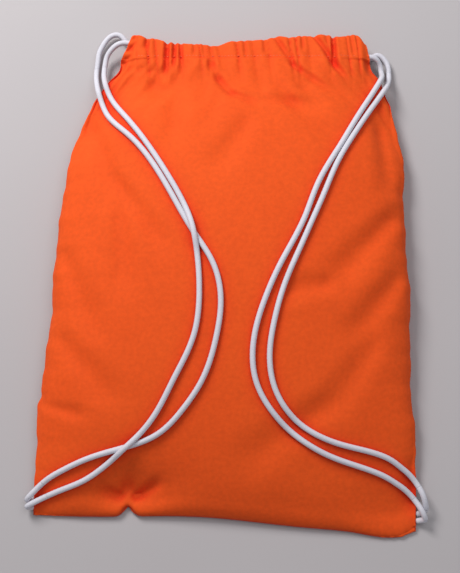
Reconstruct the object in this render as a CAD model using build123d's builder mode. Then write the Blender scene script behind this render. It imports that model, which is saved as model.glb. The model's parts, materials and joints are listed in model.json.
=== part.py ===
"""Drawstring storage bag for rope, lying flat on its back with its mouth towards +Y.

X runs across the bag, Y along it from the bottom edge to the mouth, and Z is up off the surface it lies on.
The origin is the middle of the flat patch that the back panel rests on. Lengths are in millimetres.

Two woven panels are joined at the sides and the bottom. Each ends in a hem casing at the mouth, and two
round cords run through both casings: each cord leaves the casings at its own side, hangs as two strands
over the front, and is sewn into the side seam just above the bottom corner.
"""

import math
import os

from build123d import *

# ---- Driving dimensions ----
half_width_left = 178  # bottom corners, measured from the middle line
half_width_right = 177
panel_length = 444  # bottom edge to the foot of the hem casings
bag_height = 56  # top of the crown above the surface it lies on
waist_left = 20  # how far each side pulls in between the corner and the gathers
waist_right = 3
gather_left = 55  # how far each side pulls in again at the gathered mouth
gather_right = 26
bottom_slope = -0.05  # the bottom edge runs down to the right by this much per millimetre
fabric = 1.0
gap = 0.2  # clearance between neighbouring pieces

casing_depth = 25  # hem casing, foot to folded edge
casing_thickness = 8
mouth_gap = 3.2  # between the two casings
slit_length = 44  # the side seams stop this far below the casings
casing_left = -93
casing_right = 140

cord_diameter = 5.2
cord_lift = 1.2  # clearance between the cords and the panel under them
thread = 0.8

# ---- Worked out from them ----
cord_radius = cord_diameter / 2
bottom_y = -panel_length / 2
mouth_y = panel_length / 2
casing_length = casing_right - casing_left
casing_middle_y = mouth_y + gap + casing_depth / 2
back_casing_z = gap * 2 + casing_thickness / 2
front_casing_z = back_casing_z + casing_thickness + mouth_gap
parting_z = (back_casing_z + front_casing_z) / 2
mouth_top_z = front_casing_z + casing_thickness / 2
bottom_seam_z = 4
panel_stations = 11
back_corner = 30  # how far in from the sides the back panel starts to curve up
resting_depth = 0.2  # trimmed off the back panel so that it rests on a true plane


# ---- Shape of the filled bag ----
# A share of 0 is the bottom edge and 1 is the foot of the casings.
def swell(share):
    """0 at both ends of the bag and 1 halfway along, filling out quickly behind each end."""
    return math.sin(math.pi * min(max(share, 0), 1)) ** 0.6


def ease(share):
    """Smooth step from 0 to 1."""
    share = min(max(share, 0), 1)
    return share * share * (3 - 2 * share)


def side_distance(share, half_width, waist, gather, gather_start):
    """How far a side lies from the middle line at a share of the length."""
    gathered = max(0, (share - gather_start) / (1 - gather_start)) ** 1.7
    return half_width - waist * ease(share / 0.75) - gather * gathered


def left_x(share):
    return -side_distance(share, half_width_left, waist_left, gather_left, 0.68)


def right_x(share):
    return side_distance(share, half_width_right, waist_right, gather_right, 0.72)


def seam_z(share):
    """Height of the side seams, where the two panels meet."""
    return bottom_seam_z + (parting_z - bottom_seam_z) * share + 8 * swell(share)


def crown_z(share):
    """Height of the front panel over the middle of the bag."""
    low = bottom_seam_z + 2.5
    ends = low + (mouth_top_z - gap - low) * share
    return ends + (bag_height - (low + mouth_top_z) / 2) * swell(share)


def base_z(share):
    """Height of the underside of the back panel, which lifts off the surface near the bottom edge."""
    return 2.2 * (1 - share) ** 16 - resting_depth


def station_plane(share):
    """Upright plane across the bag, turned to follow the sloping bottom edge."""
    slope = bottom_slope * (1 - share)
    y = bottom_y + panel_length * share
    return Plane(origin=(0, y, 0), x_dir=(1, slope, 0), z_dir=(slope, -1, 0))


def stations(first, last, count):
    """Shares of the length, closer together where the bag's ends round off."""
    steps = [(1 - math.cos(math.pi * step / (count - 1))) / 2 for step in range(count)]
    return [first + (last - first) * step for step in steps]


def share_at(x, y):
    """Which share of the length passes through a point in plan."""
    return (y - bottom_y - x * bottom_slope) / (panel_length - x * bottom_slope)


def front_height(x, y):
    """Height of the front panel's outer face at a point in plan."""
    share = share_at(x, y)
    middle = (left_x(share) + right_x(share)) / 2
    half = (right_x(share) - left_x(share)) / 2
    across = min(abs(x - middle) / half, 1)
    return seam_z(share) + (crown_z(share) - seam_z(share)) * math.sqrt(1 - across * across)


def resting_cord_point(x, y, lift=0):
    """Centre of a cord that rests on the front panel, raised by lift where it crosses another."""
    step = 1
    slope_x = (front_height(x + step, y) - front_height(x - step, y)) / (2 * step)
    slope_y = (front_height(x, y + step) - front_height(x, y - step)) / (2 * step)
    steepness = math.sqrt(1 + slope_x**2 + slope_y**2)
    return (x, y, front_height(x, y) + (cord_radius + cord_lift + lift) * steepness)


# ---- Panels ----
def front_section(share):
    """Half-ellipse band of cloth standing on the seam line."""
    middle = (left_x(share) + right_x(share)) / 2
    half = (right_x(share) - left_x(share)) / 2
    foot = seam_z(share) + gap / 2
    rise = crown_z(share) - foot
    with BuildSketch(station_plane(share)) as section:
        with BuildLine():
            EllipticalCenterArc((middle, foot), half, rise, arc_size=180)
            Line((middle - half, foot), (middle - half + fabric, foot))
            EllipticalCenterArc((middle, foot), half - fabric, rise - fabric, arc_size=180)
            Line((middle + half - fabric, foot), (middle + half, foot))
        make_face()
    return section.sketch


def tray_line(left, right, top, bottom, corner):
    """Open tray: a flat base with a quarter-ellipse up to each side."""
    EllipticalCenterArc((left + corner, top), corner, top - bottom, 180, arc_size=90)
    Line((left + corner, bottom), (right - corner, bottom))
    EllipticalCenterArc((right - corner, top), corner, top - bottom, 270, arc_size=90)


def back_section(share):
    """Tray-shaped band of cloth hanging from the seam line."""
    left = left_x(share)
    right = right_x(share)
    top = seam_z(share) - gap / 2
    bottom = base_z(share)
    with BuildSketch(station_plane(share)) as section:
        with BuildLine():
            tray_line(left, right, top, bottom, back_corner)
            Line((left, top), (left + fabric, top))
            tray_line(left + fabric, right - fabric, top, bottom + fabric, back_corner - fabric)
            Line((right - fabric, top), (right, top))
        make_face()
    return section.sketch


with BuildPart() as front_panel:
    loft([front_section(share) for share in stations(0, 1, panel_stations)])

with BuildPart() as back_panel:
    loft([back_section(share) for share in stations(0, 1, panel_stations)])
    split(bisect_by=Plane.XY, keep=Keep.TOP)


# ---- Hem casings ----
def casing_profile(z):
    """Flattened tube of folded cloth along the mouth."""
    with BuildSketch(Plane.YZ.offset(casing_left)) as profile:
        with Locations((casing_middle_y, z)):
            SlotOverall(casing_depth, casing_thickness)
            SlotOverall(casing_depth - 2 * fabric, casing_thickness - 2 * fabric, mode=Mode.SUBTRACT)
    return profile.sketch


with BuildPart() as front_hem_casing:
    extrude(casing_profile(front_casing_z), amount=casing_length)

with BuildPart() as back_hem_casing:
    extrude(casing_profile(back_casing_z), amount=casing_length)


# ---- Seams and stitching ----
seam_top_share = 1 - slit_length / panel_length
seam_foot_share = 0.08
allowance_width = 8
allowance_thickness = 1.6
allowance_drop = 0.3  # below the seam line
allowance_inset = fabric + 2.4
seam_stations = 9


def seam_sections(edge_x, inward, width, thickness, inset, drop):
    """Cross-sections of a strip inside a side seam; inward is +1 on the left side and -1 on the right."""
    sections = []
    for share in stations(seam_foot_share, seam_top_share, seam_stations):
        middle = edge_x(share) + inward * (inset + width / 2)
        with BuildSketch(station_plane(share)) as section:
            with Locations((middle, seam_z(share) - drop - thickness / 2)):
                Rectangle(width, thickness)
        sections.append(section.sketch)
    return sections


def side_allowance(edge_x, inward):
    return seam_sections(
        edge_x, inward, allowance_width, allowance_thickness, allowance_inset, allowance_drop
    )


def side_thread(edge_x, inward):
    drop = allowance_drop + allowance_thickness + gap
    return seam_sections(edge_x, inward, thread, thread / 2, allowance_inset + 2, drop)


with BuildPart() as left_seam_allowance:
    loft(side_allowance(left_x, 1))

with BuildPart() as right_seam_allowance:
    loft(side_allowance(right_x, -1))

with BuildPart() as left_seam_stitching:
    loft(side_thread(left_x, 1))

with BuildPart() as right_seam_stitching:
    loft(side_thread(right_x, -1))

bottom_seam_depth = 5
bottom_seam_edge = 0.7  # half the cloth folded into the seam, beyond the two layers outside it
hinge_clearance = 0.6  # room for the front panel's edge to turn as the mouth opens
bottom_plane = station_plane(0)

with BuildPart() as bottom_seam:
    with BuildSketch(bottom_plane.offset(hinge_clearance)):
        with Locations((0, bottom_seam_z)):
            SlotOverall(half_width_left + half_width_right - 2, 2 * (fabric + bottom_seam_edge))
    extrude(amount=bottom_seam_depth)

with BuildPart() as bottom_seam_stitching:
    with BuildSketch(bottom_plane.offset(bottom_seam_depth / 2)):
        with Locations((0, bottom_seam_z + fabric + bottom_seam_edge + gap / 2 + thread / 4)):
            Rectangle(half_width_left + half_width_right - 16, thread / 2)
    extrude(amount=thread)


hem_thread_length = casing_length - 2 * casing_thickness


def hem_thread_profile(z):
    """End of the row of stitches that closes a casing."""
    with BuildSketch(Plane.YZ.offset(casing_left + casing_thickness)) as profile:
        with Locations((mouth_y + casing_thickness / 2, z)):
            Rectangle(thread, thread / 2)
    return profile.sketch


with BuildPart() as front_hem_stitching:
    extrude(hem_thread_profile(front_casing_z + casing_thickness / 2 + gap), amount=hem_thread_length)

with BuildPart() as back_hem_stitching:
    extrude(hem_thread_profile(back_casing_z + casing_thickness / 2 + gap), amount=hem_thread_length)

bartack_length = 12
bartack_width = 2.5


def bartack_profile(edge_x, inward):
    """End of the dense bar of stitches at the foot of a side slit."""
    share = seam_top_share + 0.01
    middle = edge_x(share) + inward * (allowance_inset + bartack_length / 2)
    with BuildSketch(station_plane(share)) as profile:
        with Locations((middle, seam_z(share) - 1.2)):
            Rectangle(bartack_length, thread)
    return profile.sketch


with BuildPart() as left_slit_bartack:
    extrude(bartack_profile(left_x, 1), amount=-bartack_width)

with BuildPart() as right_slit_bartack:
    extrude(bartack_profile(right_x, -1), amount=-bartack_width)


# ---- Drawcords ----
# The left cord fills the channel nearer the folded edge, and the right cord the one nearer the panel.
channel_offset = 5.2
left_cord_y = casing_middle_y + channel_offset
right_cord_y = casing_middle_y - channel_offset


def cord_end(plane, *centres):
    """Round sections of cord on a plane."""
    with BuildSketch(plane) as section:
        with Locations(*centres):
            Circle(cord_radius)
    return section.sketch


def cord_start(line):
    """Round section of cord at the start of its path."""
    return cord_end(Plane(origin=line @ 0, z_dir=line % 0), (0, 0))


def casing_run(y, z):
    """Section of a straight length of cord inside a casing."""
    return cord_end(Plane.YZ.offset(casing_left), (y, z))


def bight_path(x, y, outward):
    """Half turn from the back casing to the front casing; outward is +1 at the right end."""
    bend_radius = (front_casing_z - back_casing_z) / 2
    start_x = x + outward * gap
    return ThreePointArc(
        (start_x, y, back_casing_z),
        (start_x + outward * bend_radius, y, parting_z),
        (start_x, y, front_casing_z),
    )


with BuildPart() as left_cord_front_run:
    extrude(casing_run(left_cord_y, front_casing_z), amount=casing_length)

with BuildPart() as left_cord_back_run:
    extrude(casing_run(left_cord_y, back_casing_z), amount=casing_length)

with BuildPart() as right_cord_front_run:
    extrude(casing_run(right_cord_y, front_casing_z), amount=casing_length)

with BuildPart() as right_cord_back_run:
    extrude(casing_run(right_cord_y, back_casing_z), amount=casing_length)

with BuildPart() as left_cord_bight:
    with BuildLine():
        turn = bight_path(casing_right, left_cord_y, 1)
    sweep(cord_start(turn), path=turn)

with BuildPart() as right_cord_bight:
    with BuildLine():
        turn = bight_path(casing_left, right_cord_y, -1)
    sweep(cord_start(turn), path=turn)

# ---- Swing lines ----
# The strands of one side swing together about a line from the loop at the mouth to the sewn-in ends.
swing_height = 7
anchor_z = 3.4
left_loop = Vector(-124.3, 220, swing_height)
left_anchor = Vector(-184.5, -207, anchor_z)
right_loop = Vector(159.3, 216, swing_height)
right_anchor = Vector(184.5, -216, anchor_z)
left_swing = (left_anchor - left_loop).normalized()
right_swing = (right_anchor - right_loop).normalized()
outer_loop_offset = 4.2  # the back casing's strand lies outside the swing line, the front casing's inside it
inner_loop_offset = 4
loop_tilt = 2
joint_gap = 1.2  # where the swinging strands leave the fixed ends of their cord


def loop_point(loop, outward, along=0):
    """Where a strand meets its exit; outward is the offset in X, along the distance down the swing line."""
    swing = left_swing if loop is left_loop else right_swing
    rise = loop_tilt if abs(loop.X + outward) < abs(loop.X) else -loop_tilt
    point = loop + Vector(outward, 0, rise) + swing * along
    return (point.X, point.Y, point.Z)


with BuildPart() as left_front_exit:
    with BuildLine():
        path = Spline(
            (casing_left - gap, left_cord_y, front_casing_z),
            (-106, left_cord_y - 1, 15),
            (-116.5, 232, 11),
            loop_point(left_loop, inner_loop_offset),
            tangents=((-1, 0, 0), left_swing),
        )
    sweep(cord_start(path), path=path)

with BuildPart() as left_back_exit:
    with BuildLine():
        path = Spline(
            (casing_left - gap, left_cord_y, back_casing_z),
            (-105, 246, back_casing_z),
            (-117, 244, 4),
            (-126, 234, 4.5),
            loop_point(left_loop, -outer_loop_offset),
            tangents=((-1, 0, 0), left_swing),
        )
    sweep(cord_start(path), path=path)

with BuildPart() as right_front_exit:
    with BuildLine():
        path = Spline(
            (casing_right + gap, right_cord_y, front_casing_z),
            (150.5, 226, 14),
            loop_point(right_loop, -inner_loop_offset),
            tangents=((1, 0, 0), right_swing),
        )
    sweep(cord_start(path), path=path)

with BuildPart() as right_back_exit:
    with BuildLine():
        path = Spline(
            (casing_right + gap, right_cord_y, back_casing_z),
            (154, 232.5, back_casing_z),
            (162, 225, 4.5),
            loop_point(right_loop, outer_loop_offset),
            tangents=((1, 0, 0), right_swing),
        )
    sweep(cord_start(path), path=path)

# ---- Strands over the front panel ----
# They lie in long S-curves. Each row is x, y and the lift where one crosses the other.
crossing = cord_diameter + 0.6
wrap_rise = 6  # height of the strands' ends over the anchors
wrap_pull = 0.6  # how sharply the end of a strand turns down beside the seam

left_outer_plan = [
    (-121.5, 179, 0.5), (-113, 160.5, 0), (-92, 138, 0), (-70, 110.5, 0), (-46.5, 70, 0),
    (-28.5, 38.5, 0), (-11, 10, 0), (-3.6, -25, 0), (-7.5, -57, 0), (-20.5, -97, 0),
    (-38, -123, 0), (-60.5, -145, 0), (-89.5, -156.5, 0), (-124.5, -166.5, 0),
    (-151.5, -178.5, 0), (-167, -188, 0),
]
left_inner_plan = [
    (-114, 186, 0.5), (-93.5, 155.5, 0), (-70, 122, 0), (-49.5, 88, 1.5),
    (-30.5, 46, crossing), (-25.5, 18.5, crossing), (-23.5, -25, 0), (-28, -56, 0),
    (-47, -97, 0), (-65, -130, 1.5), (-89.5, -156.5, crossing), (-110.5, -174, crossing),
    (-131, -187.5, 0), (-150, -195, 0), (-166, -201.5, 0),
]
right_outer_plan = [
    (146.5, 176.5, 0), (126, 144, 0), (106, 109, 0), (91.5, 73, 0), (76, 36, 0),
    (56, -6.5, 0), (45, -44, 0), (40.7, -75, 0), (47.8, -110.5, 0), (68, -136, 0),
    (104, -154, 0), (137, -162, 0.5), (162, -175, 0.5),
]
right_inner_plan = [
    (147.5, 192, 1), (133, 168.5, 0), (108.5, 125.5, 0), (88.5, 91, 0), (72, 52.5, 0),
    (53, 14, 0), (37, -22.5, 0), (26, -62.5, 0), (28, -97.5, 0), (43, -125.5, 0),
    (68, -149.5, 0), (98, -166, 0), (138.5, -179.5, 0), (162, -193, 0.5),
]


def strand_path(start, plan, finish, swing):
    """Free loop at the mouth, the run over the front panel, then the wrap down beside the side seam."""
    resting = [resting_cord_point(*point) for point in plan]
    side = math.copysign(1, finish.X)
    wrap = (side, -0.8, -0.9)
    return Spline(*start, *resting, finish, tangents=(swing, wrap), tangent_scalars=(1, wrap_pull))


with BuildPart() as left_outer_strand:
    with BuildLine():
        path = strand_path(
            [loop_point(left_loop, -outer_loop_offset, joint_gap), (-127.5, 201, 12)],
            left_outer_plan,
            left_anchor + Vector(0.5, 3, wrap_rise),
            left_swing,
        )
    sweep(cord_start(path), path=path)

with BuildPart() as left_inner_strand:
    with BuildLine():
        path = strand_path(
            [loop_point(left_loop, inner_loop_offset, joint_gap), (-119.5, 203, 17)],
            left_inner_plan,
            left_anchor + Vector(0.5, -3.5, wrap_rise),
            left_swing,
        )
    sweep(cord_start(path), path=path)

with BuildPart() as right_outer_strand:
    with BuildLine():
        path = strand_path(
            [loop_point(right_loop, outer_loop_offset, joint_gap), (161.5, 201, 13)],
            right_outer_plan,
            right_anchor + Vector(0.5, 9, wrap_rise),
            right_swing,
        )
    sweep(cord_start(path), path=path)

with BuildPart() as right_inner_strand:
    with BuildLine():
        path = strand_path(
            [loop_point(right_loop, -inner_loop_offset, joint_gap), (154.8, 205, 19.5)],
            right_inner_plan,
            right_anchor + Vector(-0.5, -1.5, wrap_rise),
            right_swing,
        )
    sweep(cord_start(path), path=path)


# ---- Sewn-in cord ends ----
# The two cut ends of each cord, where they enter the side seam.
with BuildPart() as left_cord_tails:
    tail_plane = Plane.YZ.offset(left_anchor.X + cord_radius + gap)
    extrude(cord_end(tail_plane, (-204, anchor_z), (-210.5, anchor_z)), amount=3.2)

with BuildPart() as right_cord_tails:
    tail_plane = Plane.YZ.offset(right_anchor.X - cord_radius - gap)
    extrude(cord_end(tail_plane, (-212.5, anchor_z), (-219.5, anchor_z)), amount=-4)


# ---- Write one file per piece ----
pieces = {
    "front_panel": front_panel,
    "back_panel": back_panel,
    "front_hem_casing": front_hem_casing,
    "back_hem_casing": back_hem_casing,
    "left_seam_allowance": left_seam_allowance,
    "right_seam_allowance": right_seam_allowance,
    "left_seam_stitching": left_seam_stitching,
    "right_seam_stitching": right_seam_stitching,
    "bottom_seam": bottom_seam,
    "bottom_seam_stitching": bottom_seam_stitching,
    "front_hem_stitching": front_hem_stitching,
    "back_hem_stitching": back_hem_stitching,
    "left_slit_bartack": left_slit_bartack,
    "right_slit_bartack": right_slit_bartack,
    "left_cord_front_run": left_cord_front_run,
    "left_cord_back_run": left_cord_back_run,
    "left_cord_bight": left_cord_bight,
    "left_front_exit": left_front_exit,
    "left_back_exit": left_back_exit,
    "left_outer_strand": left_outer_strand,
    "left_inner_strand": left_inner_strand,
    "left_cord_tails": left_cord_tails,
    "right_cord_front_run": right_cord_front_run,
    "right_cord_back_run": right_cord_back_run,
    "right_cord_bight": right_cord_bight,
    "right_front_exit": right_front_exit,
    "right_back_exit": right_back_exit,
    "right_outer_strand": right_outer_strand,
    "right_inner_strand": right_inner_strand,
    "right_cord_tails": right_cord_tails,
}

os.makedirs("parts", exist_ok=True)
for name, piece in pieces.items():
    piece.part.label = name
    export_step(piece.part, f"parts/{name}.step")
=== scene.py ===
"""Looks for the drawstring rope bag: gathered orange cloth, braided white cords, thread, floor and light.

Lengths are in metres in the frame's own axes: +X across the bag, +Y towards the mouth, +Z up off the floor.
"""
import json
import math

import bpy
import numpy as np
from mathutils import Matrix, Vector
from mathutils.bvhtree import BVHTree


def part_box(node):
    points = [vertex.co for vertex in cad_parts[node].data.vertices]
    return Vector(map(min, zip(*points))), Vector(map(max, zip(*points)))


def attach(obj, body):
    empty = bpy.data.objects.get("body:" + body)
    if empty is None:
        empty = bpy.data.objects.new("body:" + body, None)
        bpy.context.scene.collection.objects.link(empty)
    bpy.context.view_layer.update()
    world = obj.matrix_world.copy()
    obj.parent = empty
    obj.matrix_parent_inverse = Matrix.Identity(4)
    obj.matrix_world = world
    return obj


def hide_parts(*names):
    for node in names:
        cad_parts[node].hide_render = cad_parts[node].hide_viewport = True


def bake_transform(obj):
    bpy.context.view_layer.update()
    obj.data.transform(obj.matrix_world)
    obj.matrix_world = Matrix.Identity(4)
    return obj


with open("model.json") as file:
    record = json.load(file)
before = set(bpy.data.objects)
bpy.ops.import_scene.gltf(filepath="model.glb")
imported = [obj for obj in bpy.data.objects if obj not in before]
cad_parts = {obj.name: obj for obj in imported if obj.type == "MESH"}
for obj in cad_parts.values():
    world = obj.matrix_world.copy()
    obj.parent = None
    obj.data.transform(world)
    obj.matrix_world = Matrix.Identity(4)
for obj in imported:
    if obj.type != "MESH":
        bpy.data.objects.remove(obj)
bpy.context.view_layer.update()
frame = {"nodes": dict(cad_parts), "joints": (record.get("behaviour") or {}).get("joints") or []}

MM = 0.001
SIDES = {"left": -1, "right": 1}  # the two sides of the bag and the way that each faces along X


def box_centre(node):
    """Centre of a CAD node's box."""
    low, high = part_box(node)
    return (low + high) / 2


# ---- Measures taken from the frame ----
panel_low, panel_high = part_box("front_panel")
casing_low, casing_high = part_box("front_hem_casing")
back_casing_low, back_casing_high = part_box("back_hem_casing")
run_low, run_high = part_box("left_cord_front_run")
allowance_low, allowance_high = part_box("left_seam_allowance")
fold_line = next(joint for joint in frame["joints"] if joint["name"] == "mouth_open")

bottom_slope = fold_line["axis"][1] / fold_line["axis"][0]
bottom_y = fold_line["pos_m"][1]
bottom_z = fold_line["pos_m"][2]
mouth_y = casing_low.y
panel_length = mouth_y - bottom_y
casing_depth = casing_high.y - casing_low.y
half_left = -panel_low.x
half_right = panel_high.x
crown = panel_high.z
slit_y = allowance_high.y
slit_share = (slit_y - bottom_y) / panel_length
stitching = box_centre("front_hem_stitching")
cord_radius = (run_high.z - run_low.z) / 2
parting_z = (casing_low.z + back_casing_high.z) / 2

# ---- Shape of the filled bag: shares run from 0 at the bottom edge to 1 at the foot of the hem ----
CLOTH_THICKNESS = 0.7 * MM
WAIST = {"left": 20 * MM, "right": 3 * MM}  # how far a side pulls in over its length
WAIST_END = 0.75  # share at which it is fully in
GATHER = {"left": 55 * MM, "right": 26 * MM}  # how much further the mouth draws it in
GATHER_START = {"left": 0.68, "right": 0.72}  # share at which that begins
GATHER_CURVE = 1.7
FILLING_CURVE = 0.6  # below 1 the bag fills out quickly behind each end
SEAM_RISE = 8 * MM  # lift of the side seams halfway along
FOOT_RISE = 2.5 * MM  # height of the front over its fold line
MOUTH_RUN = 0.13  # share over which the front runs down to the hem
HEM_SLOPE = 0.2  # slopes of that run at the hem and at the filled bag
BODY_SLOPE = 0.5


def ease(value):
    """Smooth step from 0 to 1."""
    value = np.clip(value, 0, 1)
    return value * value * (3 - 2 * value)


def hill(x, middle, reach):
    """Smooth hill of height 1 round a middle."""
    return np.exp(-(((x - middle) / reach) ** 2))


def swell(share):
    """0 at both ends of the bag and 1 halfway along."""
    return np.sin(np.pi * np.clip(share, 0, 1)) ** FILLING_CURVE


def side_x(side, share):
    """Where a side seam lies across the bag."""
    half_width = half_left if side == "left" else half_right
    start = GATHER_START[side]
    gathered = np.clip((share - start) / (1 - start), 0, None) ** GATHER_CURVE
    distance = half_width - WAIST[side] * ease(share / WAIST_END) - GATHER[side] * gathered
    return SIDES[side] * distance


def seam_z(share):
    """Height of the side seams, where the two panels meet."""
    return bottom_z + (parting_z - bottom_z) * share + SEAM_RISE * swell(share)


def crown_z(share):
    """Height of the front panel over the middle of the bag, running softly down into the hem."""
    low = bottom_z + FOOT_RISE
    high = casing_high.z
    left = np.clip((1 - share) / MOUTH_RUN, 0, 1)
    run_out = left**2 * (3 - 2 * left)
    run_out += HEM_SLOPE * left * (1 - left) ** 2 - BODY_SLOPE * left**2 * (1 - left)
    filling = swell(np.minimum(share, 1 - MOUTH_RUN)) * run_out
    return low + (high - low) * share + (crown - (low + high) / 2) * filling


# ---- Folds and gathers ----
# Creases that run down from the gathered mouth: start and end in plan, depth and half width, in millimetres.
MOUTH_CREASES = [
    (-74, 252, -80, 232, 2.4, 3.5), (-57.5, 252, -58, 200, 5.0, 3.4), (-50, 252, -51, 206, 4.2, 2.8),
    (-44, 250, -43, 210, 2.4, 2.6), (-31, 250, -30, 228, 1.8, 2.4), (-22, 250, -20, 218, 2.4, 2.6),
    (-15, 247, -12, 212, 3.0, 3.6), (-14, 218, -4, 194, 2.8, 4.6), (-8, 201, 10, 177, 2.8, 4.8),
    (6, 183, 34, 170, 2.6, 5.0), (18.5, 250, 21, 222, 1.8, 2.6), (38, 250, 40, 228, 1.6, 2.4),
    (47, 250, 74, 208, 2.8, 3.8), (66, 216, 108, 184, 3.0, 5), (76, 250, 77, 230, 2.0, 2.4),
    (86, 250, 118, 204, 3.6, 3.6), (107, 252, 108, 212, 5.0, 3.0), (124, 250, 128, 222, 2.4, 3.0),
    (-88, 246, -112, 196, 2.6, 4.5),
]
# Broad soft folds over the body of the bag, in the same form.
BODY_FOLDS = [
    (-70, 214, -64, 176, 5.0, 12), (-96, 216, -60, 209, 6.5, 5.5), (44, 176, 96, 170, 2.6, 9),
    (-46, 205, -52, 120, 3.0, 12), (-128, 150, -98, 60, 3.4, 13), (-98, 60, -92, -20, 3.2, 14),
    (-100, 90, -52, 20, 2.6, 11), (-150, 20, -118, -60, 3.0, 14), (160, 60, 96, -8, 4.0, 15),
    (96, -8, 50, -14, 2.6, 13), (162, 0, 112, -64, 3.6, 15), (-86, -204, -58, -186, 3.4, 6),
    (-90, -204, -118, -192, 2.6, 6), (150, 150, 158, 80, 3.4, 11), (-172, -116, -126, -128, 2.2, 8),
    (20, 150, -12, 96, 2.4, 15), (90, -120, 10, -176, 2.8, 18), (-150, -60, -96, -120, 2.8, 15),
    (60, 180, 118, 120, 2.6, 13), (140, -60, 84, -140, 2.6, 16),
]
CREASE_START_WIDTH = 0.8  # a crease is this share of its width where it starts
CREASE_OPENING = 0.5  # and opens out by this share along its run
CREASE_RIDGE = 0.9  # height of the ridges beside a crease
RUFFLE_PITCH = 15 * MM
RUFFLE_DRIFTS = (83 * MM, 47 * MM, 29 * MM)  # wavelengths of the slow changes in that pitch
RUFFLE_DRIFT_SIZE = 0.7
RUFFLE_CURVE = 0.6  # below 1 the gathers are rounded on top and sharp between


def crease_height(x, y, creases):
    """Sum of valleys along straight lines, each with a soft ridge on both sides and fading at its ends."""
    height = np.zeros_like(x)
    for x0, y0, x1, y1, depth, width in creases:
        run = np.array([x1 - x0, y1 - y0]) * MM
        length = np.hypot(*run)
        along = ((x - x0 * MM) * run[0] + (y - y0 * MM) * run[1]) / length**2
        aside = ((x - x0 * MM) * run[1] - (y - y0 * MM) * run[0]) / length
        spread = width * MM * (CREASE_START_WIDTH + CREASE_OPENING * np.clip(along, 0, 1))
        ratio = (aside / spread) ** 2
        fade_in = ease((along + 0.25) / 0.35)
        fade_out = ease((1.15 - along) / 0.5)
        height -= depth * MM * (1 - CREASE_RIDGE * ratio) * np.exp(-ratio) * (fade_in * fade_out)
    return height


def ruffle(x, seed):
    """Irregular gathers along the mouth, from 0 to 1."""
    rng = np.random.default_rng(seed)
    phase = np.zeros_like(x)
    for wave in RUFFLE_DRIFTS:
        phase += RUFFLE_DRIFT_SIZE * np.sin(2 * np.pi * (x / wave + rng.random()))
    return np.abs(np.sin(np.pi * x / RUFFLE_PITCH + phase)) ** RUFFLE_CURVE


def hem_stretch(x):
    """How deep the hem is against plain, along the mouth: its folded edge wanders."""
    dip = -7.5 * MM * hill(x, -22 * MM, 42 * MM)
    rise = 2.5 * MM * ease((x - 40 * MM) / (40 * MM))
    knot = 6 * MM * hill(x, casing_low.x + 5 * MM, 7 * MM)
    rounded = -9 * MM * ease((x - casing_high.x + 12 * MM) / (12 * MM)) ** 2
    small = 0.9 * MM * np.sin(x / (6.5 * MM)) + 0.6 * MM * np.sin(x / (3.9 * MM) + 1)
    return 1 + (dip + rise + knot + rounded + small) / casing_depth


def with_hem_edge(x, y):
    """Moves a place in the hem with its wandering edge; places below the hem stay."""
    return np.where(y > casing_low.y, casing_low.y + (y - casing_low.y) * hem_stretch(x), y)


# ---- Cloth sheets as grids of points ----
COLUMNS = 281
PANEL_ROWS = 236
HEM_ROWS = 18
FOLD_ROWS = 9
INNER_ROWS = 12
HEM_FLARE = 11 * MM  # the foot of the hem reaches this much further left than its folded edge
RIGHT_FLARE = HEM_FLARE / 3
HEM_TILT = 3.5 * MM  # and is this much higher
HEM_END_PINCH = 0.38  # share by which the hem flattens at its two ends
HEM_NARROWING = 0.05  # share of the length over which the panels narrow to the hem
INNER_GAP = 1.5 * MM  # distance from the foot of the hem to the raw edge inside it
SLIT_PARTING = 4 * MM  # how far each panel leaves the seam line at the open slits
BOTTOM_ROLL = 2.6 * MM  # how far the front turns down at the bottom edge
BOTTOM_LAP = 4.6 * MM  # how far the front covers the bottom seam
BACK_LIFT = 0.4 * MM  # height of the back over the floor, and what the bottom edge adds
BACK_FOOT_LIFT = 2.2 * MM
BACK_CORNER = 30 * MM  # width over which the back curves up to the side seams
SIDE_WAVES = ((0.33, 1.3), (0.14, 0.7), (0.057, 0.35), (0.031, 0.15))  # shares and millimetres


def sheet_columns(count):
    """Angles across the bag, from 0 at the left seam to pi at the right seam."""
    return np.linspace(0, np.pi, count)


def bottom_edge_offset(x):
    """How far the bottom edge strays from its straight line."""
    pinch = 9 * MM * hill(x, -90 * MM, 6 * MM)
    wave = 6 * MM * hill(x, -25 * MM, 80 * MM)
    droop = -4 * MM * hill(x, 148 * MM, 26 * MM)
    rise = 4 * MM * ease((x - 160 * MM) / (17 * MM))
    return pinch + wave + droop + rise


def side_pucker(share, seed):
    """Small waves along a side seam, none at the bottom corner."""
    rng = np.random.default_rng(seed)
    total = np.zeros_like(share)
    for wave, size in SIDE_WAVES:
        total += size * MM * np.sin(2 * np.pi * (share / wave + rng.random()))
    return total * np.clip(share * 12, 0, 1)


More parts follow.
